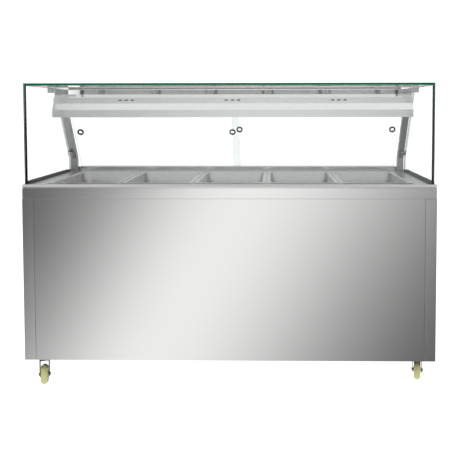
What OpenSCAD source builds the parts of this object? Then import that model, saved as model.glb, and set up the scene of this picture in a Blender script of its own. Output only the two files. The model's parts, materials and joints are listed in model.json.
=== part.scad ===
// Mobile steam table for five full-size food pans, with a glass guard, a lamp canopy
// and sliding glass at the back. X runs along the counter, +Y points to the operator's
// side and the origin is on the floor under the centre of the cabinet.

/* [Cabinet] */
// Width of the cabinet and its counter
body_width = 1850; // [1840:1:1900]
// Depth of the cabinet and its counter
body_depth = 700; // [696:1:720]
// Height of the counter's top face above the floor
counter_z = 927; // [900:1:940]
// Height of the cabinet's underside above the floor
base_z = 130; // [130:1:140]
// Thickness of the folded sheet steel
sheet = 2; // [1.5:0.5:2]
// Width of each corner strip
strip_width = 50; // [45:1:55]
// Width of the shadow gaps between the strips and panels
gap = 1.2; // [1.2:0.1:3]

/* [Counter] */
// Height of the folded rim round the counter
rim_height = 13; // [12:1:16]
// Height from the counter's top face to the bottom of its apron
apron_height = 64; // [60:1:70]
// Depth of the water tank below the counter
tank_depth = 226; // [210:1:240]

/* [Pans] */
// Number of pans
pan_count = 5; // [5:1:5]
// Length of a pan's rim
pan_length = 530; // [528:1:532]
// Width of a pan's rim
pan_width = 325; // [323:1:326]
// Depth of a pan
pan_depth = 100; // [65:1:150]
// Distance from one pan's centre to the next
pan_pitch = 333; // [331:1:334]
// Distance of the pans' front rims behind the cabinet's front
pan_setback = 45; // [42:1:50]
// Thickness of a pan's wall
pan_wall = 1.2; // [1:0.1:1.5]

/* [Glass guard] */
// Thickness of the guard's panes
glass = 10; // [8:1:10]
// Height of the top pane's upper face above the floor
guard_z = 1378; // [1370:1:1390]
// Distance of the guard's front face behind the cabinet's front
guard_inset = 5; // [4:1:6]
// Distance of the guard's side faces inside the cabinet's sides
guard_side = 12; // [11:1:13]

/* [Canopy] */
// Half the length of the canopy's valance
canopy_half = 872; // [868:1:874]
// Number of louvre groups in the valance
louvre_groups = 3; // [1:1:3]
// Number of slots in a louvre group
louvre_slots = 3; // [1:1:4]

/* [Sliding glass] */
// Lean of the doors and posts from upright
lean = 30; // [30:1:30]
// Thickness of the sliding glass
door_glass = 5; // [4:1:5]
// Distance between the planes of the two doors
door_step = 12; // [12:0.5:12.5]
// Outer diameter of a finger ring
ring_d = 34; // [30:1:36]
// Diameter of the hole in a finger ring
ring_hole_d = 19; // [16:1:20]

/* [Casters] */
// Diameter of a wheel
wheel_d = 90; // [88:1:90]
// Width of a wheel's tread
wheel_w = 32; // [30:1:33]
// Distance of a wheel's axle behind its swivel axis
trail = 35; // [33:1:36]
// Distance of a swivel axis from the centre of the cabinet, along X
caster_x = 863; // [855:1:865]
// Distance of a swivel axis from the centre of the cabinet, along Y
caster_y = 268; // [264:1:270]

/* [Hidden] */

$fn = 48;
eps = 0.01;

steel = "lightsteelblue";
half_w = body_width / 2;
half_d = body_depth / 2;
strip_x = half_w - strip_width;
apron_z = counter_z - apron_height;
panel_top = apron_z - 0.4;

// Counter opening, with the pans' bodies hanging through it
pan_y = -half_d + pan_setback + pan_length / 2;
pan_x0 = -pan_pitch * (pan_count - 1) / 2;
opening_x = pan_pitch * pan_count / 2 - 12;
opening_y = pan_length / 2 - 10;
bar_z = counter_z + 1;
tank_z = counter_z - sheet - tank_depth;
tank_x = opening_x + 14;
tank_y = opening_y + 14;
element_z = tank_z + 18;
element_r = 4;
element_bend = 60;

// Glass guard
guard_x = half_w - guard_side;
guard_front = -half_d + guard_inset;
guard_top = guard_z - glass;
side_glass_rear = 265;
side_glass_bend_z = 998;

// The leaning plane of the doors, through a line at the sill's top
door_y = 318;
door_z = counter_z + 21;
door_half = 862;
door_overlap = 19.5;
door_run = 450;
track_grip = 10;
door_lift = door_step * tan(lean);
outer_ring_x = -830;
inner_ring_x = -18.5;
ring_s = 222;
ring_rise = 15;

// Posts
post_in = 867;
post_out = 898;
post_front = -36;
post_back = -6;
post_top = guard_top - 4;
stub_y = door_y + (post_front + (door_z - side_glass_bend_z) * sin(lean)) / cos(lean);
stub_d = (post_back - post_front) / cos(lean);

// Canopy
valance_y = -80;
valance_lip_y = -100;
valance_top = 1320;
valance_fold_1 = 1290;
valance_fold_2 = 1259;
valance_bottom = 1223;
end_plate_x = post_in - 3;
lamp_y = -52;
lamp_z = 1272;
lamp_r = 13;
lamp_half = 840;
beam_front = 60;
beam_back = 128;
beam_bottom = 1325;

// Operator's side
control_y = half_d - 30;
control_bottom = apron_z - 107;
control_mid = (apron_z + control_bottom) / 2 - 2;
knob_x = 600;
power_x = 480;
light_x = 400;
pilot_x = 340;
gland_x = -780;
switch_pivot_y = control_y - 4;
rocker_tilt = 8;
cupboard_z = base_z + 30 + sheet;
rail_y = control_y - 17;
rail_pitch = 20;
cupboard_door = 16;

// Drain
drain_x = -700;
drain_y = 120;
valve_z = tank_z - 110;
lever_y = 30;

// Casters: trailing direction of each, turned from -Y
caster_turn = [15, 167, -12, 20];
caster_side = [[-1, -1], [1, -1], [-1, 1], [1, 1]];
axle_z = wheel_d / 2;
axle_r = 4.95;
fork_top = base_z - 12.3;
fork_gap = wheel_w / 2 + 2.5;
fork_wall = 3;
running = 0.06;
plate_x = 50;
plate_y = 64;
bolt_x = 36;
bolt_y = 50;
bolt_hole_r = 4.2;

module box(lo, hi) { translate(lo) cube(hi - lo); }

module both_sides() { children(); mirror([1, 0, 0]) children(); }

module rod_x(r, x0, x1) { translate([x0, 0, 0]) rotate([0, 90, 0]) cylinder(r = r, h = x1 - x0); }

module rod_y(r, y0, y1) { translate([0, y0, 0]) rotate([-90, 0, 0]) cylinder(r = r, h = y1 - y0); }

// Extrudes an outline drawn in Y and Z along X, from x0 to x1
module along_x(x0, x1) {
    translate([x0, 0, 0]) rotate([90, 0, 90]) linear_extrude(x1 - x0) children();
}

module round_rect(w, l, r) {
    square([w - 2 * r, l], center = true);
    square([w, l - 2 * r], center = true);
    for (x = [-1, 1], y = [-1, 1]) translate([x * (w / 2 - r), y * (l / 2 - r)]) circle(r);
}

// The doors' leaning frame: X along the counter, Y through the glass, Z up the glass
module leaning() { translate([0, door_y, door_z]) rotate([lean, 0, 0]) children(); }

// ---- Cabinet ----

module base_frame() {
    x = half_w - 5;
    y = half_d - 5;
    h = 30;
    bay = (2 * x - 4 * h) / 3;
    color(steel) difference() {
        box([-x, -y, base_z], [x, y, base_z + h]);
        for (i = [-1:1])
            translate([i * (bay + h), 0, base_z + h / 2]) cube([bay, 2 * (y - h), h + 1], center = true);
        for (side = [-1, 1]) {
            translate([0, side * (y - h / 2 - sheet), base_z + h / 2])
                cube([2 * (x - sheet), h, h - 2 * sheet], center = true);
            translate([side * (x - h / 2 - sheet), 0, base_z + h / 2])
                cube([h, 2 * (y - sheet), h - 2 * sheet], center = true);
        }
        at_casters() bolt_pattern() cylinder(r = bolt_hole_r, h = 10, center = true);
    }
    color(steel) at_casters() difference() {
        translate([0, 0, sheet / 2]) cube([2 * plate_x, 2 * plate_y, sheet], center = true);
        bolt_pattern() cylinder(r = bolt_hole_r, h = 10, center = true);
    }
}

// Under the cabinet, over each swivel axis
module at_casters() {
    for (side = caster_side) translate([side[0] * caster_x, side[1] * caster_y, base_z]) children();
}

module bolt_pattern() {
    for (x = [-1, 1], y = [-1, 1]) translate([x * bolt_x, y * bolt_y, 0]) children();
}

// Tray floor of the cupboard, open towards the doors
module bottom_shelf() {
    x = half_w - 5;
    y = half_d - 5;
    color(steel) difference() {
        box([-x, -y, base_z + 30], [x, y, cupboard_z + 12]);
        box([-x + sheet, -y + sheet, cupboard_z], [x - sheet, y + 1, cupboard_z + 13]);
        translate([drain_x, pan_y + drain_y, base_z]) cylinder(r = 30, h = 100);
    }
}

// An upright angle at each corner
module corner_strips() {
    color(steel) both_sides() for (back = [0, 1]) mirror([0, back, 0]) difference() {
        box([strip_x, -half_d, base_z], [half_w, -half_d + strip_width, apron_z - 1]);
        box([strip_x - 1, -half_d + sheet, base_z - 1], [half_w - sheet, half_d, apron_z]);
    }
}

module front_panel() {
    x = strip_x - gap;
    color(steel) difference() {
        box([-x, -half_d, base_z], [x, -half_d + 4, panel_top]);
        box([-x + sheet, -half_d + sheet, base_z + sheet], [x - sheet, -half_d + 6, panel_top - sheet]);
    }
}

module side_panel() {
    y = half_d - strip_width - gap;
    color(steel) difference() {
        box([half_w - 4, -y, base_z], [half_w, y, panel_top]);
        box([half_w - 6, -y + sheet, base_z + sheet], [half_w - sheet, y - sheet, panel_top - sheet]);
    }
}

module left_side_panel() { mirror([1, 0, 0]) side_panel(); }

module right_side_panel() { side_panel(); }

// ---- Counter, tank and pans ----

module counter_top() {
    rim_z = counter_z - rim_height;
    neck_z = rim_z - 3.5;
    neck = 3.5;
    color(steel) difference() {
        union() {
            counter_rim(rim_z);
            box([-half_w + neck, -half_d + neck, neck_z - 1], [half_w - neck, half_d - neck, counter_z - 1]);
            box([-half_w + 1, -half_d + 1, apron_z], [half_w - 1, half_d - 1, neck_z]);
        }
        box([-half_w + 1 + sheet, -half_d + 1 + sheet, apron_z - 1],
            [half_w - 1 - sheet, half_d - 1 - sheet, neck_z - sheet]);
        box([-half_w + neck + sheet, -half_d + neck + sheet, apron_z - 1],
            [half_w - neck - sheet, half_d - neck - sheet, counter_z - sheet]);
        translate([0, pan_y, 0])
            box([-opening_x, -opening_y, apron_z], [opening_x, opening_y, counter_z + 1]);
    }
}

// The rim's outer face leans in a little towards the top
module counter_rim(z) {
    rim_lean = 2.5;
    hull() {
        box([-half_w, -half_d, z], [half_w, half_d, z + 2]);
        box([-half_w + rim_lean, -half_d + rim_lean, z + 2],
            [half_w - rim_lean, half_d - rim_lean, counter_z]);
    }
}

module water_tank() {
    top = counter_z - sheet;
    color(steel) translate([0, pan_y, 0]) difference() {
        union() {
            box([-tank_x, -tank_y, tank_z], [tank_x, tank_y, top]);
            box([-tank_x - 18, -tank_y - 8, top - sheet], [tank_x + 18, tank_y + 18, top]);
        }
        box([-tank_x + sheet, -tank_y + sheet, tank_z + sheet], [tank_x - sheet, tank_y - sheet, top + 1]);
        for (i = [0 : pan_count - 1], s = [-1, 1])
            translate([pan_x0 + i * pan_pitch + s * element_bend, 0, element_z]) rod_y(element_r + running, 0, tank_y + 1);
        translate([drain_x, drain_y, tank_z - 1]) cylinder(r = 13, h = sheet + 2);
    }
}

module divider_bars() {
    color(steel) for (i = [1 : pan_count - 1]) translate([pan_x0 + (i - 0.5) * pan_pitch, pan_y, 0]) {
        box([-15, -opening_y - 8, counter_z], [15, opening_y + 8, bar_z]);
        box([-3, -opening_y - 6, bar_z - eps], [3, opening_y + 6, bar_z + 2.2]);
        box([-2, -opening_y + 2, counter_z - 22], [2, opening_y - 2, counter_z + eps]);
    }
}

// Full-size pan with its rim on the divider bars
module pan(i) {
    body_w = pan_width - 24;
    body_l = pan_length - 26;
    top = bar_z + pan_wall;
    color("silver") translate([pan_x0 + i * pan_pitch, pan_y, 0]) difference() {
        union() {
            translate([0, 0, bar_z]) linear_extrude(pan_wall) round_rect(pan_width, pan_length, 14);
            translate([0, 0, top - pan_depth]) linear_extrude(pan_depth) round_rect(body_w, body_l, 42);
        }
        translate([0, 0, top - pan_depth + pan_wall]) linear_extrude(pan_depth)
            round_rect(body_w - 2 * pan_wall, body_l - 2 * pan_wall, 42 - pan_wall);
    }
}

module pan_1() { pan(0); }

module pan_2() { pan(1); }

module pan_3() { pan(2); }

module pan_4() { pan(3); }

module pan_5() { pan(4); }

// One hairpin heater under each pan, with its terminals through the tank's back wall
module hairpin() {
    reach = tank_y - 110;
    for (s = [-1, 1]) translate([s * element_bend, 0, 0]) {
        rod_y(element_r, -reach, tank_y + 22);
        rod_y(9, tank_y + 0.2, tank_y + 6);
    }
    translate([0, -reach, 0]) rotate([0, 0, 180]) rotate_extrude(angle = 180)
        translate([element_bend, 0]) circle(element_r);
}

module heating_elements() {
    color("dimgray") for (i = [0 : pan_count - 1])
        translate([pan_x0 + i * pan_pitch, pan_y, element_z]) hairpin();
}

// ---- Drain ----

module drain_place(z) { translate([drain_x, pan_y + drain_y, z]) children(); }

module drain_pipe() {
    color("silver") difference() {
        drain_place(valve_z + 30) cylinder(r = 12.9, h = tank_z + sheet - valve_z - 30);
        drain_place(valve_z + 29) cylinder(r = 10.5, h = tank_depth);
    }
}

module drain_valve() {
    color("goldenrod") drain_place(valve_z) difference() {
        union() {
            translate([0, 0, -24]) cylinder(r = 20, h = 48);
            translate([0, 0, 24 - eps]) cylinder(r = 19, h = 12, $fn = 6);
            translate([0, 0, -36]) cylinder(r = 19, h = 12 + eps, $fn = 6);
            translate([0, 0, -70]) cylinder(r = 13.2, h = 35);
            rod_y(9, 15, lever_y - 2);
            rod_y(4, 15, lever_y + 10);
        }
        translate([0, 0, -71]) cylinder(r = 10, h = 142);
        translate([0, 0, 6 + 24]) cylinder(r = 12.95, h = 20);
    }
}

module drain_lever() {
    color("firebrick") drain_place(valve_z) difference() {
        union() {
            rod_y(9, lever_y - 1.5, lever_y + 4);
            box([0, lever_y - 1.5, -7], [95, lever_y + 1.5, 7]);
            translate([95, 0, 0]) rod_y(7, lever_y - 1.5, lever_y + 1.5);
        }
        rod_y(4 + running, lever_y - 5, lever_y + 6);
    }
}

// ---- Operator's side ----

module at_control(x) { translate([x, control_y, control_mid]) children(); }

module control_panel() {
    x = strip_x - gap;
    color(steel) difference() {
        box([-x, control_y, control_bottom], [x, half_d - sheet, panel_top]);
        box([-x + sheet, control_y + sheet, control_bottom + sheet], [x - sheet, half_d, panel_top - sheet]);
        at_control(knob_x) rod_y(5, -1, sheet + 1);
        at_control(pilot_x) rod_y(8.2, -1, sheet + 1);
        at_control(gland_x) rod_y(8.2, -1, sheet + 1);
        for (x = [power_x, light_x]) at_control(x) translate([0, 1, 0]) cube([24.6, 4, 32.4], center = true);
    }
}

module thermostat() {
    color("gainsboro") at_control(knob_x) {
        box([-20, -34, -20], [20, -4, 20]);
        rod_y(9, -4 - eps, -0.2);
        rod_y(4.8, -1, sheet + 2);
        rod_y(3, 0, sheet + 18);
    }
}

module thermostat_knob() {
    color("black") at_control(knob_x) difference() {
        union() {
            rod_y(22, sheet + 3, sheet + 8);
            rod_y(17, sheet + 8 - eps, sheet + 22);
            box([-4, sheet + 8, -17], [4, sheet + 25, 17]);
        }
        rod_y(3 + running, sheet, sheet + 19);
    }
}

module switch_housings() {
    color("black") for (x = [power_x, light_x]) at_control(x) difference() {
        union() {
            box([-12, -18, -15.9], [12, sheet + 0.2, 15.9]);
            box([-14, sheet + 0.1, -18], [14, sheet + 2.5, 18]);
        }
        box([-10.4, -17, -14], [10.4, sheet + 5, 14]);
        translate([0, -4, 0]) rod_x(1.5 + running, -20, 20);
    }
}

module rocker() {
    translate([0, switch_pivot_y, control_mid]) rotate([-rocker_tilt, 0, 0]) {
        along_x(-10, 10) polygon([[-8, -9], [-8, 9], [4, 12.5], [7.5, 12.5], [5, 0], [7.5, -12.5], [4, -12.5]]);
        rod_x(1.5, -11.6, 11.6);
    }
}

module power_rocker() { color("crimson") translate([power_x, 0, 0]) rocker(); }

module light_rocker() { color("seagreen") translate([light_x, 0, 0]) rocker(); }

module pilot_lamp() {
    color("orange") at_control(pilot_x) {
        rod_y(8, -20, sheet + 1);
        rod_y(10.5, sheet + 0.1, sheet + 3);
        rod_y(7, sheet + 3 - eps, sheet + 7);
    }
}

module cable_gland() {
    color("black") at_control(gland_x) difference() {
        union() {
            rod_y(8, -14, sheet + 2);
            translate([0, sheet, 0]) rotate([-90, 0, 0]) cylinder(r = 13, h = 6, $fn = 6);
            rod_y(10.5, sheet + 6 - eps, sheet + 18);
            translate([0, -10, 0]) rotate([-90, 0, 0]) cylinder(r = 12.5, h = 6, $fn = 6);
        }
        rod_y(5, -20, sheet + 30);
    }
}

// A strip with three ribs that hold two doors; up is 1 for the lower track and -1 for the upper one
module cupboard_track(z, up) {
    x = strip_x - gap;
    rib = up > 0 ? 8 : 12;
    translate([0, 0, z]) mirror([0, 0, up > 0 ? 0 : 1]) {
        box([-x, rail_y - 1, 0], [x, rail_y + 2 * rail_pitch + 1, sheet]);
        for (i = [0:2]) box([-x, rail_y + i * rail_pitch - 1, 0], [x, rail_y + i * rail_pitch + 1, sheet + rib]);
    }
}

module cupboard_tracks() {
    color(steel) {
        cupboard_track(cupboard_z, 1);
        cupboard_track(control_bottom, -1);
    }
}

// Folded tray door with a pressed finger cup near its outer end
module cupboard_door_shell() {
    x0 = -door_half + 2;
    x1 = door_overlap - 2;
    z0 = cupboard_z + sheet + 0.5;
    z1 = control_bottom - sheet - 3;
    cup_x = x0 + 60;
    cup_z = (z0 + z1) / 2;
    half = cupboard_door / 2;
    difference() {
        union() {
            difference() {
                box([x0, -half, z0], [x1, half, z1]);
                box([x0 + sheet, -half - 1, z0 + sheet], [x1 - sheet, half - sheet, z1 - sheet]);
            }
            box([cup_x - 20, -half + 1, cup_z - 60], [cup_x + 20, half - 1, cup_z + 60]);
        }
        box([cup_x - 18, -half + 3, cup_z - 58], [cup_x + 18, half + 1, cup_z + 58]);
    }
}

module cupboard_door_left() {
    color(steel) translate([0, rail_y + 1.5 * rail_pitch, 0]) cupboard_door_shell();
}

module cupboard_door_right() {
    color(steel) translate([0, rail_y + 0.5 * rail_pitch, 0]) mirror([1, 0, 0]) cupboard_door_shell();
}

// ---- Glass guard ----

module front_glass() {
    color("lightgreen", 0.4) box([-guard_x, guard_front, counter_z], [guard_x, guard_front + glass, guard_top]);
}

module side_glass() {
    front = guard_front + glass;
    top_y = side_glass_rear - (guard_top - side_glass_bend_z) * tan(lean);
    along_x(guard_x - glass, guard_x) polygon([
        [front, counter_z + sheet], [front, guard_top], [top_y, guard_top],
        [side_glass_rear, side_glass_bend_z], [side_glass_rear, counter_z + sheet]
    ]);
}

module left_glass() { color("lightgreen", 0.4) mirror([1, 0, 0]) side_glass(); }

module right_glass() { color("lightgreen", 0.4) side_glass(); }

module top_glass() {
    color("lightgreen", 0.4) box([-guard_x, guard_front, guard_top], [guard_x, beam_back + 2, guard_z]);
}

module glass_rails() {
    color("dimgray") both_sides() difference() {
        box([guard_x - glass - 4, guard_front + glass, counter_z], [guard_x + 3, stub_y - 1, counter_z + 12]);
        box([guard_x - glass, guard_front, counter_z + sheet], [guard_x, side_glass_rear, counter_z + 20]);
    }
}

module post() {
    box([post_in, stub_y, counter_z], [post_out, stub_y + stub_d, side_glass_bend_z]);
    intersection() {
        leaning() box([post_in, post_front, 0], [post_out, post_back, 600]);
        box([0, -half_d, side_glass_bend_z - eps], [half_w, half_d, post_top]);
    }
}

module left_post() { color(steel) mirror([1, 0, 0]) post(); }

module right_post() { color(steel) post(); }

// Two clamps on each post, holding the side pane against it
module glass_clamps() {
    color("silver") both_sides() leaning() for (s = [118, 372]) translate([0, post_front, s]) {
        box([post_out - 9, -16, -11], [guard_x - glass - 0.1, -0.1, 11]);
        translate([0, -8, 0]) rod_x(6, post_out - 17, post_out - 9 + eps);
    }
}

// Brackets under the top pane, between the canopy's end plates and the side panes
module glass_brackets() {
    color("silver") both_sides() {
        box([end_plate_x + 3.1, valance_y + 6, guard_top - 26], [guard_x - glass - 0.1, valance_y + 36, guard_top - 2]);
    }
}

// ---- Canopy and lamp ----

// The valance's outline: outer face, then the same face moved in by the sheet's thickness
module valance_outline() {
    slope = atan((valance_y - valance_lip_y) / (valance_fold_1 - valance_fold_2));
    drop = sheet * tan(slope / 2);
    polygon([
        [valance_y + 14, valance_top], [valance_y, valance_top], [valance_y, valance_fold_1],
        [valance_lip_y, valance_fold_2], [valance_lip_y, valance_bottom], [valance_lip_y + 14, valance_bottom],
        [valance_lip_y + 14, valance_bottom + sheet], [valance_lip_y + sheet, valance_bottom + sheet],
        [valance_lip_y + sheet, valance_fold_2 - drop], [valance_y + sheet, valance_fold_1 - drop],
        [valance_y + sheet, valance_top - sheet], [valance_y + 14, valance_top - sheet]
    ]);
}

module canopy_valance() {
    slot_z = (valance_top + valance_fold_1) / 2 + 1;
    color(steel) difference() {
        along_x(-canopy_half, canopy_half) valance_outline();
        for (g = [1 : louvre_groups], s = [1 : louvre_slots])
            translate([(g - (louvre_groups + 1) / 2) * 516 + (s - (louvre_slots + 1) / 2) * 30, valance_y, slot_z])
                cube([17, 10, 5], center = true);
        both_sides() box([end_plate_x - 0.1, valance_y + sheet, valance_fold_1 + 2], [half_w, 0, valance_top + 1]);
    }
}

module canopy_end_plates() {
    y = valance_y + sheet;
    color(steel) both_sides() along_x(end_plate_x, post_in) polygon([
        [y, post_top], [y, valance_fold_1 - 2], [valance_lip_y + sheet, valance_fold_2 - 2],
        [valance_lip_y + sheet, valance_bottom + sheet], [lamp_y + 20, valance_bottom + sheet],
        [beam_front, beam_bottom - 25], [beam_back, beam_bottom - 25], [beam_back, post_top]
    ]);
}

module lamp_reflector() {
    half = lamp_half - 14;
    color("white") along_x(-half, half) polygon([
        [lamp_y - 24, lamp_z], [lamp_y - 14, lamp_z + 24], [lamp_y + 14, lamp_z + 24], [lamp_y + 24, lamp_z],
        [lamp_y + 22, lamp_z], [lamp_y + 13, lamp_z + 22.5], [lamp_y - 13, lamp_z + 22.5], [lamp_y - 22, lamp_z]
    ]);
}

module lamp_tube() {
    color("ivory") translate([0, lamp_y, lamp_z]) rod_x(lamp_r, -lamp_half, lamp_half);
}

// Sockets on the end plates, round the tube's ends
module lamp_holders() {
    color("white") both_sides() translate([0, lamp_y, lamp_z]) difference() {
        box([lamp_half - 12, -17, -17], [end_plate_x, 17, 17]);
        rod_x(lamp_r + running, lamp_half - 13, lamp_half + 0.5);
    }
}

// The bar over the doors: its lower front face leans down towards the pans
module upper_door_track() {
    lip = beam_front + 22;
    color(steel) difference() {
        along_x(-end_plate_x, end_plate_x) polygon([
            [beam_front, post_top], [beam_front, post_top - 4], [lip, post_top - 26], [lip, beam_bottom],
            [beam_back, beam_bottom], [beam_back, post_top]
        ]);
        leaning() for (n = [0, 1]) {
            top = door_run - n * door_lift;
            box([-half_w, n * door_step - 3, top - 60], [half_w, n * door_step + 3, top + 0.3]);
        }
    }
}

module sill_track() {
    color(steel) difference() {
        box([-half_w + 20, half_d - 60, counter_z], [half_w - 20, half_d, door_z]);
        leaning() for (n = [0, 1]) {
            bottom = -track_grip - n * door_lift - 0.3;
            box([-door_half - 4, n * door_step - 3, bottom], [door_half + 4, n * door_step + 3, 60]);
        }
    }
}

// ---- Sliding glass ----

// n is 0 for the front track and 1 for the rear track
module door_pane(n) {
    low = -track_grip - n * door_lift;
    high = door_run - n * door_lift;
    leaning() translate([0, n * door_step, 0]) difference() {
        box([-door_half, -door_glass / 2, low], [door_overlap, door_glass / 2, high]);
        for (x = [outer_ring_x, inner_ring_x])
            translate([x, 0, ring_s + n * (ring_rise - door_lift)]) rod_y(ring_hole_d / 2 + 3, -10, 10);
    }
}

module finger_rings(n) {
    proud = 1.6;
    leaning() for (x = [outer_ring_x, inner_ring_x])
        translate([x, n * door_step, ring_s + n * (ring_rise - door_lift)]) difference() {
            union() {
                rod_y(ring_hole_d / 2 + 2.95, -door_glass / 2, door_glass / 2);
                rod_y(ring_d / 2, -door_glass / 2 - proud, -door_glass / 2);
                rod_y(ring_d / 2, door_glass / 2, door_glass / 2 + proud);
            }
            rod_y(ring_hole_d / 2, -10, 10);
        }
}

module door_glass_left() { color("lightcyan", 0.4) door_pane(0); }

module door_glass_right() { color("lightcyan", 0.4) mirror([1, 0, 0]) door_pane(1); }

module door_rings_left() { color("black") finger_rings(0); }

module door_rings_right() { color("black") mirror([1, 0, 0]) finger_rings(1); }

// ---- Casters ----

// Top plates with their swivel pins, and the bolts that hold them
module caster_plates() {
    color("dimgray") at_casters() {
        difference() {
            union() {
                box([-plate_x, -plate_y, -4], [plate_x, plate_y, 0]);
                translate([0, 0, -12]) cylinder(r = 22, h = 8 + eps);
                translate([0, 0, -27]) cylinder(r = 6, h = 16);
                translate([0, 0, -27]) cylinder(r = 11, h = 8.4);
            }
            bolt_pattern() translate([0, 0, -10]) cylinder(r = bolt_hole_r, h = 20);
        }
        bolt_pattern() {
            translate([0, 0, -9.5]) cylinder(r = 6.5, h = 5.4, $fn = 6);
            translate([0, 0, -5]) cylinder(r = 4, h = 12);
        }
    }
}

// A caster's own frame: origin on the floor under its swivel axis, wheel towards -Y
module at_caster(i) {
    translate([caster_side[i][0] * caster_x, caster_side[i][1] * caster_y, 0])
        rotate([0, 0, caster_turn[i]]) children();
}

// Fork, with the axle bolt through its legs as a separate solid
module fork(i) {
    outer = fork_gap + fork_wall;
    braked = i > 1;
    back = -trail - 17;
    color("black") at_caster(i) difference() {
        union() {
            translate([0, 0, fork_top - 5.7]) cylinder(r = 26, h = 5.7);
            box([-outer, back, fork_top - 5.7], [outer, 20, fork_top]);
            for (x = [-outer, fork_gap]) along_x(x, x + fork_wall) {
                polygon([[20, fork_top], [back, fork_top], [back, fork_top - 24],
                         [-trail - 13, axle_z], [-trail + 13, axle_z]]);
                translate([-trail, axle_z]) circle(13);
            }
        }
        translate([0, -trail, axle_z]) rod_x(axle_r + running, -50, 50);
        translate([0, 0, fork_top - 10]) cylinder(r = 6 + running, h = 20);
        if (braked) translate([0, back + 7, fork_top - 15]) rod_x(2.5 + running, -50, 50);
    }
    color("silver") at_caster(i) translate([0, -trail, axle_z]) {
        rod_x(axle_r, -outer - 2, outer + 2);
        for (s = [-1, 1]) translate([s * (outer + 2.6), 0, 0]) rotate([0, 90, 0])
            cylinder(r = 7.5, h = 5, center = true, $fn = 6);
    }
}

module wheel(i) {
    half = wheel_w / 2;
    r = wheel_d / 2;
    bore = axle_r + running;
    color("darkkhaki") at_caster(i) translate([0, -trail, axle_z]) rotate([0, 90, 0]) rotate_extrude($fn = 96)
        polygon([
            [bore, -half - 1.5], [12, -half - 1.5], [12, -half + 3], [r - 12, -half + 5], [r - 9, -half],
            [r - 3, -half], [r, -half + 4], [r, half - 4], [r - 3, half],
            [r - 9, half], [r - 12, half - 5], [12, half - 3], [12, half + 1.5], [bore, half + 1.5]
        ]);
}

// Pedal on its pin between the fork's legs; it reaches out over the wheel
module brake_pedal(i) {
    back = -trail - 17;
    color("firebrick") at_caster(i) translate([0, back + 7, fork_top - 15]) {
        rod_x(2.5, -fork_gap - fork_wall, fork_gap + fork_wall);
        box([-fork_gap + 1, -5, -5], [fork_gap - 1, 5, 5]);
        box([-fork_gap + 1, -50, -1], [fork_gap - 1, -4, 4]);
        box([-fork_gap - 4, -50, -1], [fork_gap + 4, -24, 4]);
    }
}

module caster_fork_1() { fork(0); }

module caster_fork_2() { fork(1); }

module caster_fork_3() { fork(2); }

module caster_fork_4() { fork(3); }

module caster_wheel_1() { wheel(0); }

module caster_wheel_2() { wheel(1); }

module caster_wheel_3() { wheel(2); }

module caster_wheel_4() { wheel(3); }

module brake_pedal_3() { brake_pedal(2); }

module brake_pedal_4() { brake_pedal(3); }

base_frame();
bottom_shelf();
corner_strips();
front_panel();
left_side_panel();
right_side_panel();
counter_top();
water_tank();
divider_bars();
heating_elements();
drain_pipe();
drain_valve();
drain_lever();
control_panel();
thermostat();
thermostat_knob();
switch_housings();
power_rocker();
light_rocker();
pilot_lamp();
cable_gland();
cupboard_tracks();
cupboard_door_left();
cupboard_door_right();
front_glass();
left_glass();
right_glass();
top_glass();
glass_rails();
left_post();
right_post();
glass_clamps();
glass_brackets();
canopy_valance();
canopy_end_plates();
lamp_reflector();
lamp_tube();
lamp_holders();
upper_door_track();
sill_track();
door_glass_left();
door_glass_right();
door_rings_left();
door_rings_right();
pan_1();
pan_2();
pan_3();
pan_4();
pan_5();
caster_plates();
caster_fork_1();
caster_fork_2();
caster_fork_3();
caster_fork_4();
caster_wheel_1();
caster_wheel_2();
caster_wheel_3();
caster_wheel_4();
brake_pedal_3();
brake_pedal_4();
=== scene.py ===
"""Studio view of a stainless steam table with a glass guard, lamp canopy and casters."""

import json
import math

import bmesh
import bpy
from mathutils import Matrix, Vector


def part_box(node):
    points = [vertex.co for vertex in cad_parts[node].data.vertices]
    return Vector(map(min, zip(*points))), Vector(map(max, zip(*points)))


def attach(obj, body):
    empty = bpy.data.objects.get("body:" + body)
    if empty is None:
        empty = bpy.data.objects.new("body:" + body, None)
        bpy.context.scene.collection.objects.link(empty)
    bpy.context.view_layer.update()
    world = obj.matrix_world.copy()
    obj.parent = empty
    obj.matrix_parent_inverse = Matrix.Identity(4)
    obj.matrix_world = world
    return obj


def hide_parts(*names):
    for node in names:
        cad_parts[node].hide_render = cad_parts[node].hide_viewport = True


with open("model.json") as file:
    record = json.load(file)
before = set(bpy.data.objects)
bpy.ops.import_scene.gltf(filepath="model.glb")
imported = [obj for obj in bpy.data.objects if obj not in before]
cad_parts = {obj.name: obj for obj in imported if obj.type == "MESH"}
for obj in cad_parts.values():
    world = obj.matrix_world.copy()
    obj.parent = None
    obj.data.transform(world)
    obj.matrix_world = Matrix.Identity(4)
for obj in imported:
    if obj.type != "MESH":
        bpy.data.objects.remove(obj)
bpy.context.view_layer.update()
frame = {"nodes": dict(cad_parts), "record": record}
BODY_OF = {
    node: body
    for body, nodes in frame["record"]["behaviour"]["bodies"].items()
    for node in nodes
}
MM = 0.001
LEAN = math.radians(30)  # lean of the sliding doors from upright


# ---- Node trees ----


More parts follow.
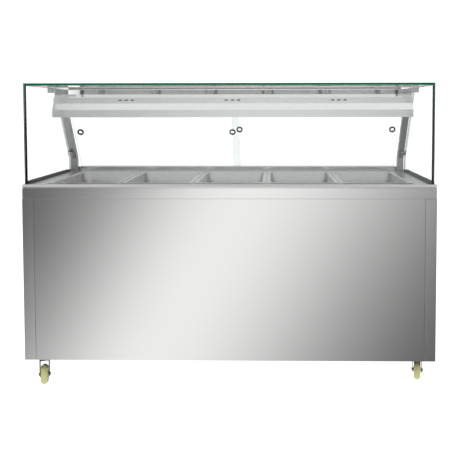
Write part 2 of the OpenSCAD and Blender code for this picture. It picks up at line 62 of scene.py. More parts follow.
class Value:
    """One output of a node. Arithmetic on it adds Math nodes."""

    def __init__(self, graph, socket):
        self.graph, self.socket = graph, socket

    def maths(self, operation, *others):
        terms = dict(enumerate((self, *others)))
        return self.graph.node("ShaderNodeMath", {"operation": operation}, terms)

    def __add__(self, other):
        return self.maths("ADD", other)

    def __sub__(self, other):
        return self.maths("SUBTRACT", other)

    def __rsub__(self, other):
        return self.graph.node("ShaderNodeMath", {"operation": "SUBTRACT"}, {0: other, 1: self})

    def __mul__(self, other):
        return self.maths("MULTIPLY", other)

    def __truediv__(self, other):
        return self.maths("DIVIDE", other)

    __radd__ = __add__
    __rmul__ = __mul__


class Graph:
    """Adds nodes to one tree: settings first, then the values or links of the inputs."""

    def __init__(self, tree):
        self.tree = tree
        tree.nodes.clear()

    def node(self, kind, settings=None, inputs=None, out=0):
        made = self.tree.nodes.new(kind)
        for key, value in (settings or {}).items():
            if key == "stops":
                self.set_stops(made.color_ramp, value)
            else:
                setattr(made, key, value)
        for key, value in (inputs or {}).items():
            if isinstance(value, Value):
                self.tree.links.new(value.socket, made.inputs[key])
            else:
                made.inputs[key].default_value = value
        return Value(self, made.outputs[out]) if len(made.outputs) else made

    def also(self, value, out):
        """Another output of the node that a value comes from."""
        return Value(self, value.socket.node.outputs[out])

    @staticmethod
    def set_stops(ramp, stops):
        while len(ramp.elements) < len(stops):
            ramp.elements.new(1)
        for element, (place, colour) in zip(ramp.elements, stops):
            element.position = place
            element.color = (*colour, 1)

    def mix(self, factor, low, high):
        """Colour between low and high; either may be a colour or a value."""
        low, high = [v if isinstance(v, Value) else (*v, 1) for v in (low, high)]
        colours = {0: factor, 6: low, 7: high}
        return self.node("ShaderNodeMix", {"data_type": "RGBA"}, colours, out=2)

    def ramp(self, factor, *stops):
        return self.node("ShaderNodeValToRGB", {"stops": stops}, {0: factor})

    def place(self, scale=(1, 1, 1), turn=(0, 0, 0)):
        """Object coordinates, stretched and turned."""
        at = self.node("ShaderNodeTexCoord", out=3)
        return self.node("ShaderNodeMapping", inputs={"Vector": at, "Rotation": turn, "Scale": scale})

    def noise(self, at, scale, detail=2.0, rough=0.5):
        return self.node("ShaderNodeTexNoise", inputs={
            "Vector": at, "Scale": scale, "Detail": detail, "Roughness": rough})

    def bump(self, height, strength, distance):
        return self.node("ShaderNodeBump", inputs={
            "Height": height, "Strength": strength, "Distance": distance})


def finish(name, paint):
    """A material whose surface shader is what paint(graph) returns."""
    material = bpy.data.materials.new(name)
    material.use_nodes = True
    graph = Graph(material.node_tree)
    graph.node("ShaderNodeOutputMaterial", inputs={"Surface": paint(graph)})
    return material


# ---- Finishes ----

GRAIN_X, GRAIN_Y, GRAIN_Z = (1, 120, 120), (120, 1, 120), (120, 120, 1)


def brushed_steel(name, colour, roughness, grain, depth=0.02):
    """Stainless sheet with fine brush lines along one axis and faint cloudy wear."""

    def paint(g):
        lines = g.noise(g.place(grain), 9, detail=3, rough=0.65)
        clouds = g.noise(g.place(), 2.5, detail=2)
        dark = tuple(c * 0.9 for c in colour)
        light = tuple(min(1, c * 1.06) for c in colour)
        rough = roughness + (lines - 0.5) * 0.14 + (clouds - 0.5) * 0.04
        return g.node("ShaderNodeBsdfPrincipled", inputs={
            "Base Color": g.mix(lines * 0.8 + clouds * 0.2, dark, light),
            "Metallic": 1.0, "Roughness": rough, "Normal": g.bump(lines, depth, 0.2 * MM)})

    return finish(name, paint)


def drawn_steel(name, colour, roughness):
    """Polished deep-drawn sheet, with faint vertical draw marks and water spots."""

    def paint(g):
        marks = g.noise(g.place((60, 60, 3)), 6, detail=2)
        clouds = g.noise(g.place(), 14, detail=4, rough=0.6)
        spots = g.node("ShaderNodeTexVoronoi", {"feature": "SMOOTH_F1"}, {
            "Vector": g.place(), "Scale": 55, "Smoothness": 0.6})
        rough = roughness + (marks - 0.5) * 0.10 + (clouds - 0.5) * 0.06 + spots * 0.02
        return g.node("ShaderNodeBsdfPrincipled", inputs={
            "Base Color": g.mix(clouds, tuple(c * 0.9 for c in colour), colour),
            "Metallic": 1.0, "Roughness": rough, "Normal": g.bump(marks, 0.02, 0.2 * MM)})

    return finish(name, paint)


def grained(name, colour, roughness, metallic=0.0, scale=400.0, depth=0.12, fade=0.8, coat=0.0, shine=0.5):
    """Moulded, painted or plated surface: fine grain, uneven gloss and slightly uneven colour."""

    def paint(g):
        fine = g.noise(g.place(), scale, detail=2)
        broad = g.noise(g.place(), scale / 14, detail=3)
        return g.node("ShaderNodeBsdfPrincipled", inputs={
            "Base Color": g.mix(broad, tuple(c * fade for c in colour), colour),
            "Metallic": metallic, "Roughness": roughness + (fine - 0.5) * 0.12 + (broad - 0.5) * 0.12,
            "Coat Weight": coat, "Specular IOR Level": shine, "Normal": g.bump(fine, depth, 0.1 * MM)})

    return finish(name, paint)


def clear_glass(name, tint, shine=0.9):
    """The broad face of a pane: see-through, with reflections that grow towards grazing."""

    def paint(g):
        smears = g.noise(g.place((1, 1, 2)), 6, detail=3)
        gloss = g.node("ShaderNodeBsdfPrincipled", inputs={
            "Base Color": (0.93, 0.96, 0.945, 1), "Metallic": 1.0, "Roughness": smears * 0.05})
        clear = g.node("ShaderNodeBsdfTransparent", inputs={"Color": (*tint, 1)})
        facing = g.node("ShaderNodeLayerWeight", inputs={"Blend": 0.5}, out=1)
        mirror = facing.maths("POWER", 5.0) * 0.96 + 0.04
        return g.node("ShaderNodeMixShader", inputs={0: mirror * shine, 1: clear, 2: gloss})

    return finish(name, paint)


def guard_edge_glass():
    """Ground edges of the guard, with painted light: painted shade makes them black-green below, where no
    light reaches, and a painted highlight makes them green at the top.
    """

    def paint(g):
        at = g.node("ShaderNodeTexCoord", out=3)
        height = g.also(g.node("ShaderNodeSeparateXYZ", inputs={0: at}), 2)
        low, high = 0.93, 1.40

        def mark(z):
            return (z - low) / (high - low)

        # painted light by height: painted shade darkens the edges downwards, and a painted highlight turns
        # them bright green at the top
        green = g.ramp((height - low) / (high - low),
                       (0.0, (0.0, 0.004, 0.003)), (mark(1.25), (0.0, 0.012, 0.009)),
                       (mark(1.362), (0.0, 0.035, 0.022)), (mark(1.369), (0.0, 0.105, 0.045)))
        grind = g.noise(g.place(), 500, detail=2)
        return g.node("ShaderNodeBsdfPrincipled", inputs={
            "Base Color": green, "Roughness": 0.22 + grind * 0.15, "Normal": g.bump(grind, 0.1, 0.1 * MM),
            "Specular IOR Level": 0.1})

    return finish("guard_glass_edge", paint)


def door_edge_glass():
    """Polished pale edge of a thin pane."""

    def paint(g):
        grind = g.noise(g.place(), 400, detail=2)
        return g.node("ShaderNodeBsdfPrincipled", inputs={
            "Base Color": g.mix(grind, (0.30, 0.40, 0.36), (0.42, 0.52, 0.47)),
            "Roughness": 0.3 + grind * 0.2, "Alpha": 0.75})

    return finish("door_glass_edge", paint)


def tread_plastic():
    """Pale olive wheel material, scuffed and greyer in patches."""

    def paint(g):
        scuffs = g.noise(g.place(), 260, detail=4, rough=0.7)
        dirt = g.noise(g.place(), 45, detail=3)
        clean = g.mix(dirt, (0.50, 0.49, 0.20), (0.64, 0.63, 0.30))
        return g.node("ShaderNodeBsdfPrincipled", inputs={
            "Base Color": g.mix(scuffs * 0.35, clean, (0.40, 0.38, 0.24)),
            "Roughness": 0.38 + scuffs * 0.2, "Normal": g.bump(scuffs, 0.15, 0.2 * MM)})

    return finish("tread_plastic", paint)


def glowing(name, colour, strength):
    """Frosted plastic or glass with a light behind it."""

    def paint(g):
        frost = g.noise(g.place(), 300, detail=2)
        return g.node("ShaderNodeBsdfPrincipled", inputs={
            "Base Color": (*colour, 1), "Roughness": 0.25 + frost * 0.15,
            "Emission Color": g.mix(frost, tuple(c * 0.9 for c in colour), colour),
            "Emission Strength": strength})

    return finish(name, paint)


PANEL = brushed_steel("panel_steel_brushed", (0.66, 0.66, 0.655), 0.16, GRAIN_X)
PANEL_UPRIGHT = brushed_steel("panel_steel_upright", (0.66, 0.66, 0.655), 0.17, GRAIN_Z)
SIDE = brushed_steel("side_steel_brushed", (0.64, 0.64, 0.635), 0.30, GRAIN_Y, depth=0.004)
COUNTER = brushed_steel("counter_steel_brushed", (0.66, 0.66, 0.655), 0.16, GRAIN_X)
DECK = brushed_steel("deck_steel_brushed", (0.50, 0.50, 0.495), 0.30, GRAIN_X)
POST = brushed_steel("post_steel_brushed", (0.40, 0.40, 0.395), 0.40, GRAIN_Z)
CANOPY = brushed_steel("canopy_steel_brushed", (0.74, 0.74, 0.735), 0.24, GRAIN_X)
MIRROR_BAR = brushed_steel("track_steel_polished", (0.90, 0.90, 0.895), 0.06, GRAIN_X, depth=0.01)
INNER = brushed_steel("inner_steel_rolled", (0.50, 0.50, 0.49), 0.38, GRAIN_Y)
PAN = drawn_steel("pan_steel_polished", (0.56, 0.56, 0.555), 0.2)
GALVANISED = grained("frame_galvanised", (0.42, 0.43, 0.44), 0.45, metallic=0.8, scale=120, fade=0.7)
GUARD_FACE = clear_glass("guard_glass_face", (0.992, 0.997, 0.995), shine=1.0)
GUARD_SIDE = clear_glass("guard_side_face", (0.994, 0.998, 0.996), shine=0.35)
DOOR_FACE = clear_glass("door_glass_face", (0.93, 0.935, 0.933), shine=0.8)
GUARD_EDGE = guard_edge_glass()
DOOR_EDGE = door_edge_glass()
RAIL = grained("rail_dark", (0.055, 0.055, 0.055), 0.5)
CLAMP = grained("clamp_plated", (0.6, 0.6, 0.6), 0.25, metallic=1.0)
RING = grained("ring_black", (0.004, 0.004, 0.004), 0.5, shine=0.15)
# painted shade: a black, lightless sheet set behind the canopy's slots so that they look dark
PAINTED_SHADE = grained("painted_shade_black", (0.002, 0.002, 0.002), 0.9, shine=0.0)
CUSHION = grained("cushion_rubber", (0.26, 0.26, 0.26), 0.7, shine=0.2)
LAMP = glowing("lamp_opal", (0.95, 0.93, 0.86), 0.6)
ENAMEL = grained("reflector_enamel", (0.85, 0.85, 0.83), 0.3, coat=0.3)
SHEATH = grained("heater_sheath", (0.16, 0.14, 0.13), 0.42, metallic=0.9, fade=0.6)
BRASS = grained("valve_brass", (0.70, 0.52, 0.25), 0.32, metallic=1.0, scale=250)
RED_SLEEVE = grained("sleeve_red", (0.50, 0.03, 0.025), 0.4, coat=0.2)
BLACK = grained("control_black", (0.02, 0.02, 0.021), 0.42)
ROCKER_RED = grained("rocker_red", (0.55, 0.03, 0.02), 0.25, coat=0.4)
ROCKER_GREEN = grained("rocker_green", (0.03, 0.34, 0.12), 0.25, coat=0.4)
AMBER = glowing("pilot_amber", (0.9, 0.35, 0.03), 0.5)
CASE_GREY = grained("thermostat_case", (0.5, 0.5, 0.48), 0.5)
FORK = grained("fork_enamel", (0.012, 0.012, 0.013), 0.36, scale=220, coat=0.2)
ZINC = grained("zinc_plated", (0.62, 0.61, 0.57), 0.32, metallic=1.0, scale=200)
TREAD = tread_plastic()
WHITE_MARK = grained("dial_white", (0.75, 0.75, 0.73), 0.5)


# ---- Making pieces ----


def put(obj, node, *materials):
    """Gives a piece its finishes and rides it on its CAD node's body."""
    obj.data.materials.clear()
    for material in materials:
        obj.data.materials.append(material)
    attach(obj, BODY_OF[node])
    return obj


def link(name, mesh):
    obj = bpy.data.objects.new(name, mesh)
    bpy.context.scene.collection.objects.link(obj)
    return obj


def from_bmesh(name, shape, smooth_angle=30):
    mesh = bpy.data.meshes.new(name)
    shape.to_mesh(mesh)
    shape.free()
    for face in mesh.polygons:
        face.use_smooth = True
    mesh.set_sharp_from_angle(angle=math.radians(smooth_angle))
    return link(name, mesh)


def cad_copy(node):
    """The CAD node's mesh with its triangles joined into flat faces."""
    shape = bmesh.new()
    shape.from_mesh(frame["nodes"][node].data)
    bmesh.ops.remove_doubles(shape, verts=shape.verts, dist=0.005 * MM)
    bmesh.ops.dissolve_limit(shape, angle_limit=math.radians(1), verts=shape.verts, edges=shape.edges)
    return shape


def sharp_edges(shape, degrees):
    return [e for e in shape.edges if len(e.link_faces) == 2 and e.calc_face_angle(0) > math.radians(degrees)]


def soften(shape, width, segments=2, degrees=18):
    """Rounds the sharp edges, as a press brake or a file does."""
    bmesh.ops.bevel(shape, geom=sharp_edges(shape, degrees), offset=width, segments=segments,
                    profile=0.5, affect="EDGES", clamp_overlap=True)


def settle_normals(obj):
    """Keeps flat faces flat beside their rounded edges."""
    modifier = obj.modifiers.new("flat_faces", "WEIGHTED_NORMAL")
    modifier.keep_sharp = True
    apply_modifiers(obj)


def apply_modifiers(obj):
    """Turns the evaluated object into a plain mesh and drops its modifiers."""
    seen = obj.evaluated_get(bpy.context.evaluated_depsgraph_get())
    mesh = bpy.data.meshes.new_from_object(seen)
    obj.modifiers.clear()
    obj.data = mesh


def dressed(node, material, width=0.6, segments=2, upward=None):
    """A CAD piece with rounded edges, standing for its node. Its level faces may differ."""
    shape = cad_copy(node)
    soften(shape, width * MM, segments)
    obj = from_bmesh(node + "_dressed", shape)
    put(obj, node, material, upward or material)
    for polygon in obj.data.polygons:
        polygon.material_index = 1 if polygon.normal.z > 0.95 else 0
    settle_normals(obj)
    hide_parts(node)
    return obj


def pane(node, normal, face, edge, width=0.8):
    """A glass pane with ground edges. The edges that face back are polished and stay pale."""
    shape = cad_copy(node)
    soften(shape, width * MM, 1)
    obj = from_bmesh(node + "_pane", shape, 20)
    put(obj, node, face, edge, DOOR_EDGE)
    for polygon in obj.data.polygons:
        broad = abs(polygon.normal.dot(normal)) > 0.999
        rear = 2 if polygon.normal.y > 0.4 else 1
        polygon.material_index = 0 if broad or polygon.normal.z < -0.4 else rear
    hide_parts(node)
    return obj


def lathe(shape, outline, place, steps=48):
    """Spins an outline of (radius, height) points round place's Z axis into the shape."""
    rings = []
    for i in range(steps):
        turn = Matrix.Rotation(2 * math.pi * i / steps, 4, "Z")
        rings.append([shape.verts.new(place @ turn @ Vector((r, 0, z))) for r, z in outline])
    faces = []
    for a, b in zip(rings, rings[1:] + rings[:1]):
        for j in range(len(outline)):
            k = (j + 1) % len(outline)
            faces.append(shape.faces.new((a[j], b[j], b[k], a[k])))
    bmesh.ops.recalc_face_normals(shape, faces=faces)
    return faces


def arc(centre, radius, start, stop, steps):
    """Points of an arc, with angles in degrees."""
    angles = [math.radians(start + (stop - start) * i / steps) for i in range(steps + 1)]
    return [(centre[0] + radius * math.cos(a), centre[1] + radius * math.sin(a)) for a in angles]


def rounded_outline(width, length, radius, steps=8):
    """Corner arcs of a rectangle, counter-clockwise from the right."""
    points = []
    for i, (sx, sy) in enumerate(((1, 1), (-1, 1), (-1, -1), (1, -1))):
        centre = (sx * (width / 2 - radius), sy * (length / 2 - radius))
        points += arc(centre, radius, 90 * i, 90 * i + 90, steps)
    return points


def middle(node):
    low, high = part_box(node)
    return (Vector(low) + Vector(high)) / 2


# ---- Cabinet and counter ----


def sheet_metal():
    dressed("front_panel", PANEL, 0.4)
    dressed("left_side_panel", SIDE, 0.9)
    dressed("right_side_panel", SIDE, 0.9)
    dressed("corner_strips", PANEL_UPRIGHT, 0.4)
    dressed("counter_top", COUNTER, 0.5, 2, DECK)
    dressed("divider_bars", DECK, 0.5)
    dressed("sill_track", COUNTER, 0.6)
    dressed("control_panel", PANEL, 0.5)
    dressed("cupboard_door_left", PANEL_UPRIGHT, 0.7)
    dressed("cupboard_door_right", PANEL_UPRIGHT, 0.7)
    dressed("cupboard_tracks", INNER, 0.4)
    dressed("bottom_shelf", INNER, 0.5)
    dressed("water_tank", INNER, 0.5)
    dressed("base_frame", GALVANISED, 0.6)
    dressed("left_post", POST, 1.6, 3)
    dressed("right_post", POST, 1.6, 3)
    dressed("canopy_valance", CANOPY, 0.5)
    dressed("canopy_end_plates", CANOPY, 0.5)
    dressed("upper_door_track", MIRROR_BAR, 0.6)
    dressed("lamp_reflector", ENAMEL, 0.4)
    dressed("glass_rails", RAIL, 0.7)
    dressed("glass_clamps", CLAMP, 1.0, 3)
    dressed("glass_brackets", CLAMP, 1.5, 3)


def guard_panes():
    pane("front_glass", Vector((0, 1, 0)), GUARD_FACE, GUARD_EDGE)
    pane("left_glass", Vector((1, 0, 0)), GUARD_SIDE, GUARD_EDGE)
    pane("right_glass", Vector((1, 0, 0)), GUARD_SIDE, GUARD_EDGE)
    pane("top_glass", Vector((0, 0, 1)), GUARD_FACE, GUARD_EDGE)


def sliding_panes():
    through = Vector((0, math.cos(LEAN), math.sin(LEAN)))
    pane("door_glass_left", through, DOOR_FACE, DOOR_EDGE, 0.5)
    pane("door_glass_right", through, DOOR_FACE, DOOR_EDGE, 0.5)


# ---- Pans ----

PAN_WALL = 1.2 * MM
PAN_CORNER = 46 * MM


def pan_rings(low, high):
    """Outlines of a pan's upper face from the rim's turned edge down to the floor, as (outline, z)."""
    width, length = high.x - low.x, high.y - low.y
    top, floor = high.z, low.z + PAN_WALL
    mouth_w, mouth_l = width - 20 * MM, length - 22 * MM

    def ring(inset, z, corner=PAN_CORNER):
        return rounded_outline(mouth_w - 2 * inset, mouth_l - 2 * inset, corner - inset, 10), z

    def edge(inset, z):
        return rounded_outline(width - 2 * inset, length - 2 * inset, 14 * MM - inset, 10), z

    rings = [edge(0, top - 1.0 * MM), edge(0.2 * MM, top - 0.35 * MM), edge(0.8 * MM, top)]
    rings.append(ring(0, top))
    mouth, wall_top = 6 * MM, 5.4 * MM
    for i in range(1, 6):
        turn = math.radians(16.5 * i)
        rings.append(ring(mouth * math.sin(turn), top - mouth * (1 - math.cos(turn))))
    heel, taper = 20 * MM, 7 * MM
    for i in range(9):
        turn = math.radians(11.25 * i)
        inset = wall_top + taper + heel * (1 - math.cos(turn))
        rings.append(ring(inset, floor + heel * (1 - math.sin(turn))))
    return rings


def pan_mesh(shape, centre, rings):
    """Walls between the outlines, and a flat floor."""
    loops = []
    for outline, z in rings:
        loops.append([shape.verts.new((centre.x + x, centre.y + y, z)) for x, y in outline])
    for a, b in zip(loops, loops[1:]):
        for i in range(len(a)):
            j = (i + 1) % len(a)
            shape.faces.new((a[i], a[j], b[j], b[i]))
    shape.faces.new(loops[-1])


def food_pan(number):
    node = f"pan_{number}"
    low, high = map(Vector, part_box(node))
    shape = bmesh.new()
    pan_mesh(shape, (low + high) / 2, pan_rings(low, high))
    bmesh.ops.recalc_face_normals(shape, faces=shape.faces)
    if max(shape.faces, key=lambda f: f.calc_area()).normal.z < 0:
        bmesh.ops.reverse_faces(shape, faces=shape.faces)
    obj = from_bmesh(f"food_pan_{number}", shape, 60)
    put(obj, node, PAN)
    wall = obj.modifiers.new("wall", "SOLIDIFY")
    wall.thickness, wall.offset = PAN_WALL * 0.75, -1
    apply_modifiers(obj)
    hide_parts(node)


# ---- Finger rings ----


def finger_rings(side):
    """Two black rings on a door, round the front and back faces of the glass."""
    node = f"door_rings_{side}"
    verts = [v.co for v in frame["nodes"][node].data.vertices]
    split = sum(v.x for v in verts) / len(verts)
    shape = bmesh.new()
    for half in ([v for v in verts if v.x < split], [v for v in verts if v.x >= split]):
        low = Vector(map(min, *half))
        high = Vector(map(max, *half))
        place = Matrix.Translation((low + high) / 2) @ Matrix.Rotation(LEAN - math.pi / 2, 4, "X")
        lathe(shape, ring_outline(), place, 56)
    obj = from_bmesh(f"finger_rings_{side}", shape, 50)
    put(obj, node, RING)
    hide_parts(node)


def ring_outline():
    """Section of a grommet: a neck in the glass and a rounded flange on each face."""
    outer, hole, neck, half = 16.9 * MM, 9.5 * MM, 12.4 * MM, 2.5 * MM
    flange, inner_round, outer_round = 1.5 * MM, 1 * MM, 1.2 * MM
    face = arc((hole + inner_round, half + flange - inner_round), inner_round, 180, 90, 4)
    rim = arc((outer - outer_round, half + flange - outer_round), outer_round, 90, 0, 4)
    front = face + rim + [(outer, half), (neck, half)]
    back = [(radius, -height) for radius, height in reversed(front)]
    return front + back


# ---- Casters ----


def wheel_outline(radius, half):
    """Rounded tread, dished web and hub of a wheel, as a closed outline."""
    hub, bore = 12 * MM, 5.1 * MM
    reach = half + 1.4 * MM
    tread = arc((radius - 13 * MM, 0), 13 * MM, -62, 62, 14)
    side = [(radius - 9 * MM, half - 1 * MM), (radius - 11 * MM, half - 5 * MM),
            (hub + 4 * MM, half - 6 * MM), (hub, half - 4 * MM), (hub - 0.6 * MM, reach), (bore, reach)]
    other = [(r, -z) for r, z in reversed(side)]
    return other + tread + side


def wheel_joint(number):
    """The centre and the axis of a wheel's axle."""
    joints = frame["record"]["behaviour"]["joints"]
    joint = next(j for j in joints if j["name"] == f"wheel_{number}_spin")
    return Vector(joint["pos_m"]), Vector(joint["axis"])


def caster_wheel(number):
    """Wheel with a rounded tread, spun round its axle."""
    node = f"caster_wheel_{number}"
    low, high = map(Vector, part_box(node))
    _, axle = wheel_joint(number)
    place = Matrix.Translation((low + high) / 2) @ axle.to_track_quat("Z", "Y").to_matrix().to_4x4()
    shape = bmesh.new()
    half_width = 16 * MM
    lathe(shape, wheel_outline((high.z - low.z) / 2, half_width), place, 72)
    obj = from_bmesh(f"rolling_wheel_{number}", shape, 50)
    put(obj, node, TREAD)
    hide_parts(node)


def caster_fork(number):
    """Pressed fork in black enamel, with its axle bolt in zinc."""
    node = f"caster_fork_{number}"
    shape = cad_copy(node)
    centre, axis = wheel_joint(number)
    nut_radius, bolt_radius, fork_side = 8 * MM, 5 * MM, 21.55 * MM
    soften(shape, 0.5 * MM, 2)
    obj = from_bmesh(f"fork_{number}_pressed", shape)
    put(obj, node, FORK, ZINC)
    settle_normals(obj)
    for polygon in obj.data.polygons:
        arm = polygon.center - centre
        along = arm.dot(axis)
        away = (arm - axis * along).length
        on_bolt = away < bolt_radius or (away < nut_radius and abs(along) > fork_side)
        polygon.material_index = 1 if on_bolt else 0
    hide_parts(node)


def painted_slot_shade():
    """Dark strip of mesh behind the valance's slots: painted shade that makes the slots look dark."""
    shape = bmesh.new()
    bmesh.ops.create_cube(shape, size=1)
    size = Vector((1680, 0.6, 15)) * MM
    place = Vector((0, -77.5, 1306)) * MM
    for vert in shape.verts:
        vert.co = place + vert.co * size
    obj = from_bmesh("painted_slot_shade", shape)
    put(obj, "canopy_valance", PAINTED_SHADE)


def track_cushion():
    """Grey rubber strip that beds the top pane on the upper track."""
    low, high = map(Vector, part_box("upper_door_track"))
    pane_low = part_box("top_glass")[0][2]
    shape = bmesh.new()
    bmesh.ops.create_cube(shape, size=1)
    front, back = low.y + 1.5 * MM, low.y + 16 * MM
    for vert in shape.verts:
        vert.co.x *= high.x - low.x - 40 * MM
        vert.co.y = front if vert.co.y < 0 else back
        vert.co.z = high.z if vert.co.z < 0 else pane_low
    soften(shape, 0.5 * MM)
    put(from_bmesh("track_cushion", shape), "upper_door_track", CUSHION)


# ---- Small parts that keep their CAD shape ----


def small_parts():
    dressed("caster_plates", ZINC, 0.4)
    dressed("drain_pipe", INNER, 0.4)
    dressed("drain_valve", BRASS, 0.5)
    dressed("drain_lever", RED_SLEEVE, 0.7)
    dressed("thermostat", CASE_GREY, 0.6)
    dressed("thermostat_knob", BLACK, 0.8, 3)
    dressed("switch_housings", BLACK, 0.6, 3)
    dressed("power_rocker", ROCKER_RED, 0.6, 3)
    dressed("light_rocker", ROCKER_GREEN, 0.6, 3)
    dressed("pilot_lamp", AMBER, 0.8, 3)
    dressed("cable_gland", BLACK, 0.6)
    dressed("lamp_holders", ENAMEL, 0.8)
    dressed("lamp_tube", LAMP, 1.5, 3)
    dressed("brake_pedal_3", RED_SLEEVE, 0.8)
    dressed("brake_pedal_4", RED_SLEEVE, 0.8)
    heaters = frame["nodes"]["heating_elements"]
    heaters.data.materials.clear()
    heaters.data.materials.append(SHEATH)


# ---- Repeated small hardware, made by node trees ----

PANEL_FACE = 2 * MM  # from the control panel's lowest Y to its outer face


def repeat_tree(name, floats, build):
    """A geometry tree whose named inputs are the points' mesh and the sizes in floats."""
    tree = bpy.data.node_groups.new(name, "GeometryNodeTree")
    tree.interface.new_socket("Geometry", in_out="INPUT", socket_type="NodeSocketGeometry")
    for label, value in floats.items():
        socket = tree.interface.new_socket(label, in_out="INPUT", socket_type="NodeSocketFloat")
        socket.default_value = value
    tree.interface.new_socket("Geometry", in_out="OUTPUT", socket_type="NodeSocketGeometry")
    g = Graph(tree)
    points = g.node("NodeGroupInput")
    sizes = {label: g.also(points, i + 1) for i, label in enumerate(floats)}
    g.node("NodeGroupOutput", inputs={"Geometry": build(g, points, sizes)})
    return tree


def on_points(g, points, piece, spin=None):
    """Copies of a piece on each point, its Z along the point's facing attribute."""
    facing = g.node("GeometryNodeInputNamedAttribute", {"data_type": "FLOAT_VECTOR"}, {
        "Name": "facing"})
    turn = g.node("FunctionNodeAlignRotationToVector", {"axis": "Z"}, {"Vector": facing})
    if spin is not None:
        about = g.node("FunctionNodeAxisAngleToRotation", inputs={"Axis": (0, 0, 1), "Angle": spin})
        turn = g.node("FunctionNodeRotateRotation", {"rotation_space": "LOCAL"}, {
            "Rotation": turn, "Rotate By": about})
    cloud = g.node("GeometryNodeMeshToPoints", inputs={"Mesh": points})
    return g.node("GeometryNodeInstanceOnPoints", inputs={
        "Points": cloud, "Instance": piece, "Rotation": turn})


def made_real(g, copies, material):
    """The copies as real faces in one finish."""
    real = g.node("GeometryNodeRealizeInstances", inputs={"Geometry": copies})
    return g.node("GeometryNodeSetMaterial", inputs={"Geometry": real, "Material": material})


def screw_tree(material):
    """Domed pan-head screws with a cross recess, each turned at random."""

    def build(g, points, size):
        radius, height = size["Head radius"], size["Head height"]
        lift = g.node("ShaderNodeCombineXYZ", inputs={"Z": height * 0.35})
        dome = g.node("GeometryNodeMeshUVSphere", inputs={
            "Segments": 20, "Rings": 12, "Radius": radius})
        flat = g.node("ShaderNodeCombineXYZ", inputs={
            "X": 1.0, "Y": 1.0, "Z": height * 0.65 / radius})
        head = g.node("GeometryNodeTransform", inputs={
            "Geometry": dome, "Scale": flat, "Translation": lift})
        foot = g.node("GeometryNodeMeshCylinder", inputs={
            "Vertices": 20, "Radius": radius * 1.04, "Depth": height * 0.7})
        slots = []
        for across in ((1.25, 0.26), (0.26, 1.25)):
            span = g.node("ShaderNodeCombineXYZ", inputs={
                "X": radius * across[0], "Y": radius * across[1], "Z": height * 0.9})
            bar = g.node("GeometryNodeMeshCube", inputs={"Size": span})
            place = g.node("ShaderNodeCombineXYZ", inputs={"Z": height * 0.98})
            slots.append(g.node("GeometryNodeTransform", inputs={
                "Geometry": bar, "Translation": place}))
        solid = g.node("GeometryNodeMeshBoolean", {"operation": "UNION"}, {"Mesh 2": foot})
        g.tree.links.new(head.socket, solid.socket.node.inputs["Mesh 2"])
        for bar in slots:
            solid = g.node("GeometryNodeMeshBoolean", {"operation": "DIFFERENCE"}, {
                "Mesh 1": solid, "Mesh 2": bar})
        turned = g.node("FunctionNodeRandomValue", {"data_type": "FLOAT"}, {
            "Min": 0.0, "Max": 1.57, "Seed": 11}, out=1)
        return made_real(g, on_points(g, points, solid, turned), material)

    return repeat_tree("screws", {"Head radius": 4 * MM, "Head height": 2.2 * MM}, build)


def mark_tree(material):
    """Short raised bars, such as the marks round a dial."""

    def build(g, points, size):
        span = g.node("ShaderNodeCombineXYZ", inputs={
            "X": size["Width"], "Y": size["Length"], "Z": size["Height"]})
        bar = g.node("GeometryNodeMeshCube", inputs={"Size": span})
        way = g.node("GeometryNodeInputNamedAttribute", {"data_type": "FLOAT"}, {"Name": "turn"})
        return made_real(g, on_points(g, points, bar, way), material)

    return repeat_tree("marks", {"Width": 0.8 * MM, "Length": 4 * MM, "Height": 0.4 * MM}, build)


def grow(name, tree, points, node, **sizes):
    """Runs a tree on points given as (place, facing, turn) and rides the result with a CAD node."""
    mesh = bpy.data.meshes.new(name)
    mesh.from_pydata([p[0] for p in points], [], [])
    mesh.attributes.new("facing", "FLOAT_VECTOR", "POINT")
    mesh.attributes.new("turn", "FLOAT", "POINT")
    for i, (_, way, about) in enumerate(points):
        mesh.attributes["facing"].data[i].vector = way
        mesh.attributes["turn"].data[i].value = about
    obj = link(name, mesh)
    modifier = obj.modifiers.new("repeat", "NODES")
    modifier.node_group = tree
    for item in tree.interface.items_tree:
        if item.in_out == "INPUT" and item.name in sizes:
            modifier[item.identifier] = sizes[item.name]
    apply_modifiers(obj)
    for polygon in obj.data.polygons:
        polygon.use_smooth = True
    obj.data.set_sharp_from_angle(angle=math.radians(35))
    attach(obj, BODY_OF[node])
    return obj


def screws():
    """Screw heads on the control panel, the canopy's ends and the posts' feet."""
    tree = screw_tree(ZINC)
    panel_low, panel_high = map(Vector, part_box("control_panel"))
    face_y = panel_low.y + PANEL_FACE
    places = []
    for x in (-0.85, -0.43, 0.0, 0.72, 0.85):
        for z in (panel_low.z + 12 * MM, panel_high.z - 14 * MM):
            places.append(((x, face_y, z), (0, 1, 0), 0.0))
    grow("control_panel_screws", tree, places, "control_panel")
    places = []
    low, high = map(Vector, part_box("canopy_end_plates"))
    for side in (-1, 1):
        for y, z in ((-0.074, 1.345), (0.03, 1.345), (0.03, 1.31), (-0.06, 1.24), (-0.03, 1.24)):
            places.append(((side * high.x, y, z), (side, 0, 0), 0.0))
    small = {"Head radius": 3.2 * MM, "Head height": 2 * MM}
    grow("canopy_end_screws", tree, places, "canopy_end_plates", **small)
    places = []
    for name in ("left_post", "right_post"):
        low, high = map(Vector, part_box(name))
        for z in (low.z + 22 * MM, low.z + 52 * MM):
            places.append((((low.x + high.x) / 2, high.y - 0.2 * MM, z), (0, 1, 0), 0.0))
    grow("post_foot_screws", tree, places, "left_post")


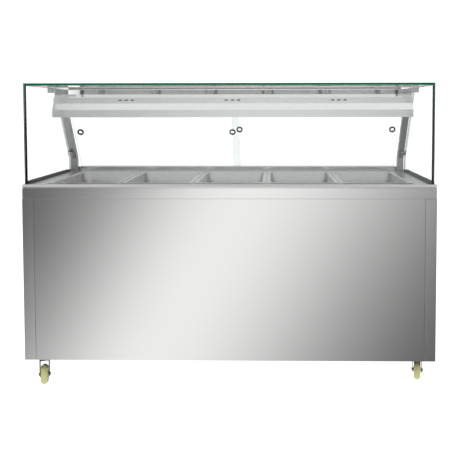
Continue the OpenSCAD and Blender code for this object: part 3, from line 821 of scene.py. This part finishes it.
def dial_marks():
    """Eleven marks round the thermostat's knob."""
    tree = mark_tree(WHITE_MARK)
    knob = middle("thermostat_knob")
    face_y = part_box("control_panel")[0][1] + PANEL_FACE
    reach, proud = 27 * MM, 0.1 * MM
    places = []
    for i in range(11):
        angle = math.radians(225 - 27 * i)
        at = (knob.x + reach * math.cos(angle), face_y + proud, knob.z + reach * math.sin(angle))
        places.append((at, (0, 1, 0), angle - math.pi / 2))
    grow("dial_marks", tree, places, "control_panel")


# ---- Camera, light and floor ----

# The lit strip in front of the steel: its lean, its middle and its strength.
FRONT_SLANT, FRONT_PLACE, FRONT_PEAK = 0.547, 0.013, 1.36
# Strength of the surroundings above the floor line to the steel, and to the eye.
ROOM, BACKDROP = 0.78, 1.32


def camera():
    """Eye-level view from the customer's side, a little right of the middle."""
    lens_mm, sensor_mm = 48.91, 36
    place = Vector((0.202, -3.113, 1.262))
    turn_left, tip_down, roll = math.radians(0.834), math.radians(2.649), math.radians(-0.073)
    data = bpy.data.cameras.new("camera")
    data.lens, data.sensor_width = lens_mm, sensor_mm
    data.shift_x, data.shift_y = -0.0758, -0.20
    obj = bpy.data.objects.new("camera", data)
    turn = Matrix.Rotation(turn_left, 4, "Z") @ Matrix.Rotation(math.pi / 2 - tip_down, 4, "X")
    obj.matrix_world = Matrix.Translation(place) @ turn @ Matrix.Rotation(roll, 4, "Z")
    bpy.context.scene.collection.objects.link(obj)
    bpy.context.scene.camera = obj


def studio():
    """White surroundings to the eye. The steel sees a bright room above and all round, and
    below it soft leaning strips of light, one narrow strip in front among darker ground."""
    world = bpy.data.worlds.new("studio")
    bpy.context.scene.world = world
    world.use_nodes = True
    g = Graph(world.node_tree)
    way = g.node("ShaderNodeTexCoord", out=0)
    x = g.node("ShaderNodeSeparateXYZ", inputs={0: way})
    y, z = g.also(x, 1), g.also(x, 2)
    level = (x * x + y * y).maths("SQRT").maths("MAXIMUM", 0.01)
    rise = z / level
    azimuth = x.maths("ARCTAN2", y * -1)

    def strip(offset, narrow):
        scaled = offset / narrow
        return (scaled * scaled * -0.5).maths("EXPONENT")

    off = azimuth - (rise * FRONT_SLANT + FRONT_PLACE)
    left, right = strip(off, 0.135), strip(off, 0.205)
    front = left + (right - left) * off.maths("GREATER_THAN", 0.0)
    turned = azimuth.maths("ABSOLUTE")
    low = front * FRONT_PEAK + strip(turned - 1.05, 0.22) * 0.85 + strip(turned - 2.1, 0.3) * 0.6
    low = low + strip(turned - 3.0, 0.32) * 0.75 + 0.045
    behind = g.node("ShaderNodeMapRange", {"interpolation_type": "SMOOTHSTEP"},
                    {"Value": turned, "From Min": 1.2, "From Max": 1.8})
    lift = g.node("ShaderNodeMapRange", {"interpolation_type": "SMOOTHSTEP"},
                  {"Value": rise + behind * 0.12, "From Min": -0.05, "From Max": 0.0})
    bright = low + (ROOM - low) * lift
    seen = g.node("ShaderNodeLightPath", out=0)
    strength = bright + (BACKDROP - bright) * seen
    back = g.node("ShaderNodeBackground", inputs={"Color": (1, 1, 1, 1), "Strength": strength})
    g.node("ShaderNodeOutputWorld", inputs={"Surface": back})


def soft_light(name, place, aim, size, watts):
    """Rectangular lamp at a place, turned to what it lights."""
    data = bpy.data.lights.new(name, "AREA")
    data.shape, data.size, data.size_y, data.energy = "RECTANGLE", *size, watts
    obj = bpy.data.objects.new(name, data)
    turn = (Vector(aim) - Vector(place)).to_track_quat("-Z", "Y")
    obj.matrix_world = Matrix.Translation(place) @ turn.to_matrix().to_4x4()
    bpy.context.scene.collection.objects.link(obj)


def floor():
    """Pale floor that keeps a faint shadow. The steel sees the soft light in its place."""
    shape = bmesh.new()
    bmesh.ops.create_grid(shape, x_segments=1, y_segments=1, size=30)
    obj = from_bmesh("studio_floor", shape)

    def paint(g):
        glow = g.node("ShaderNodeEmission", inputs={"Strength": 1.42})
        matt = g.node("ShaderNodeBsdfDiffuse", inputs={"Color": (0.9, 0.9, 0.9, 1)})
        return g.node("ShaderNodeMixShader", inputs={0: 0.15, 1: glow, 2: matt})

    obj.data.materials.append(finish("studio_floor", paint))
    obj.visible_glossy = False


bpy.context.scene.view_settings.view_transform = "Standard"
camera()
studio()
soft_light("overhead", (0.4, -1.6, 3.6), (0, 0, 0.9), (4.0, 2.4), 12)
floor()
sheet_metal()
guard_panes()
sliding_panes()
for pan_number in range(1, 6):
    food_pan(pan_number)
finger_rings("left")
finger_rings("right")
for caster_number in range(1, 5):
    caster_wheel(caster_number)
    caster_fork(caster_number)
small_parts()
painted_slot_shade()
track_cushion()
screws()
dial_marks()
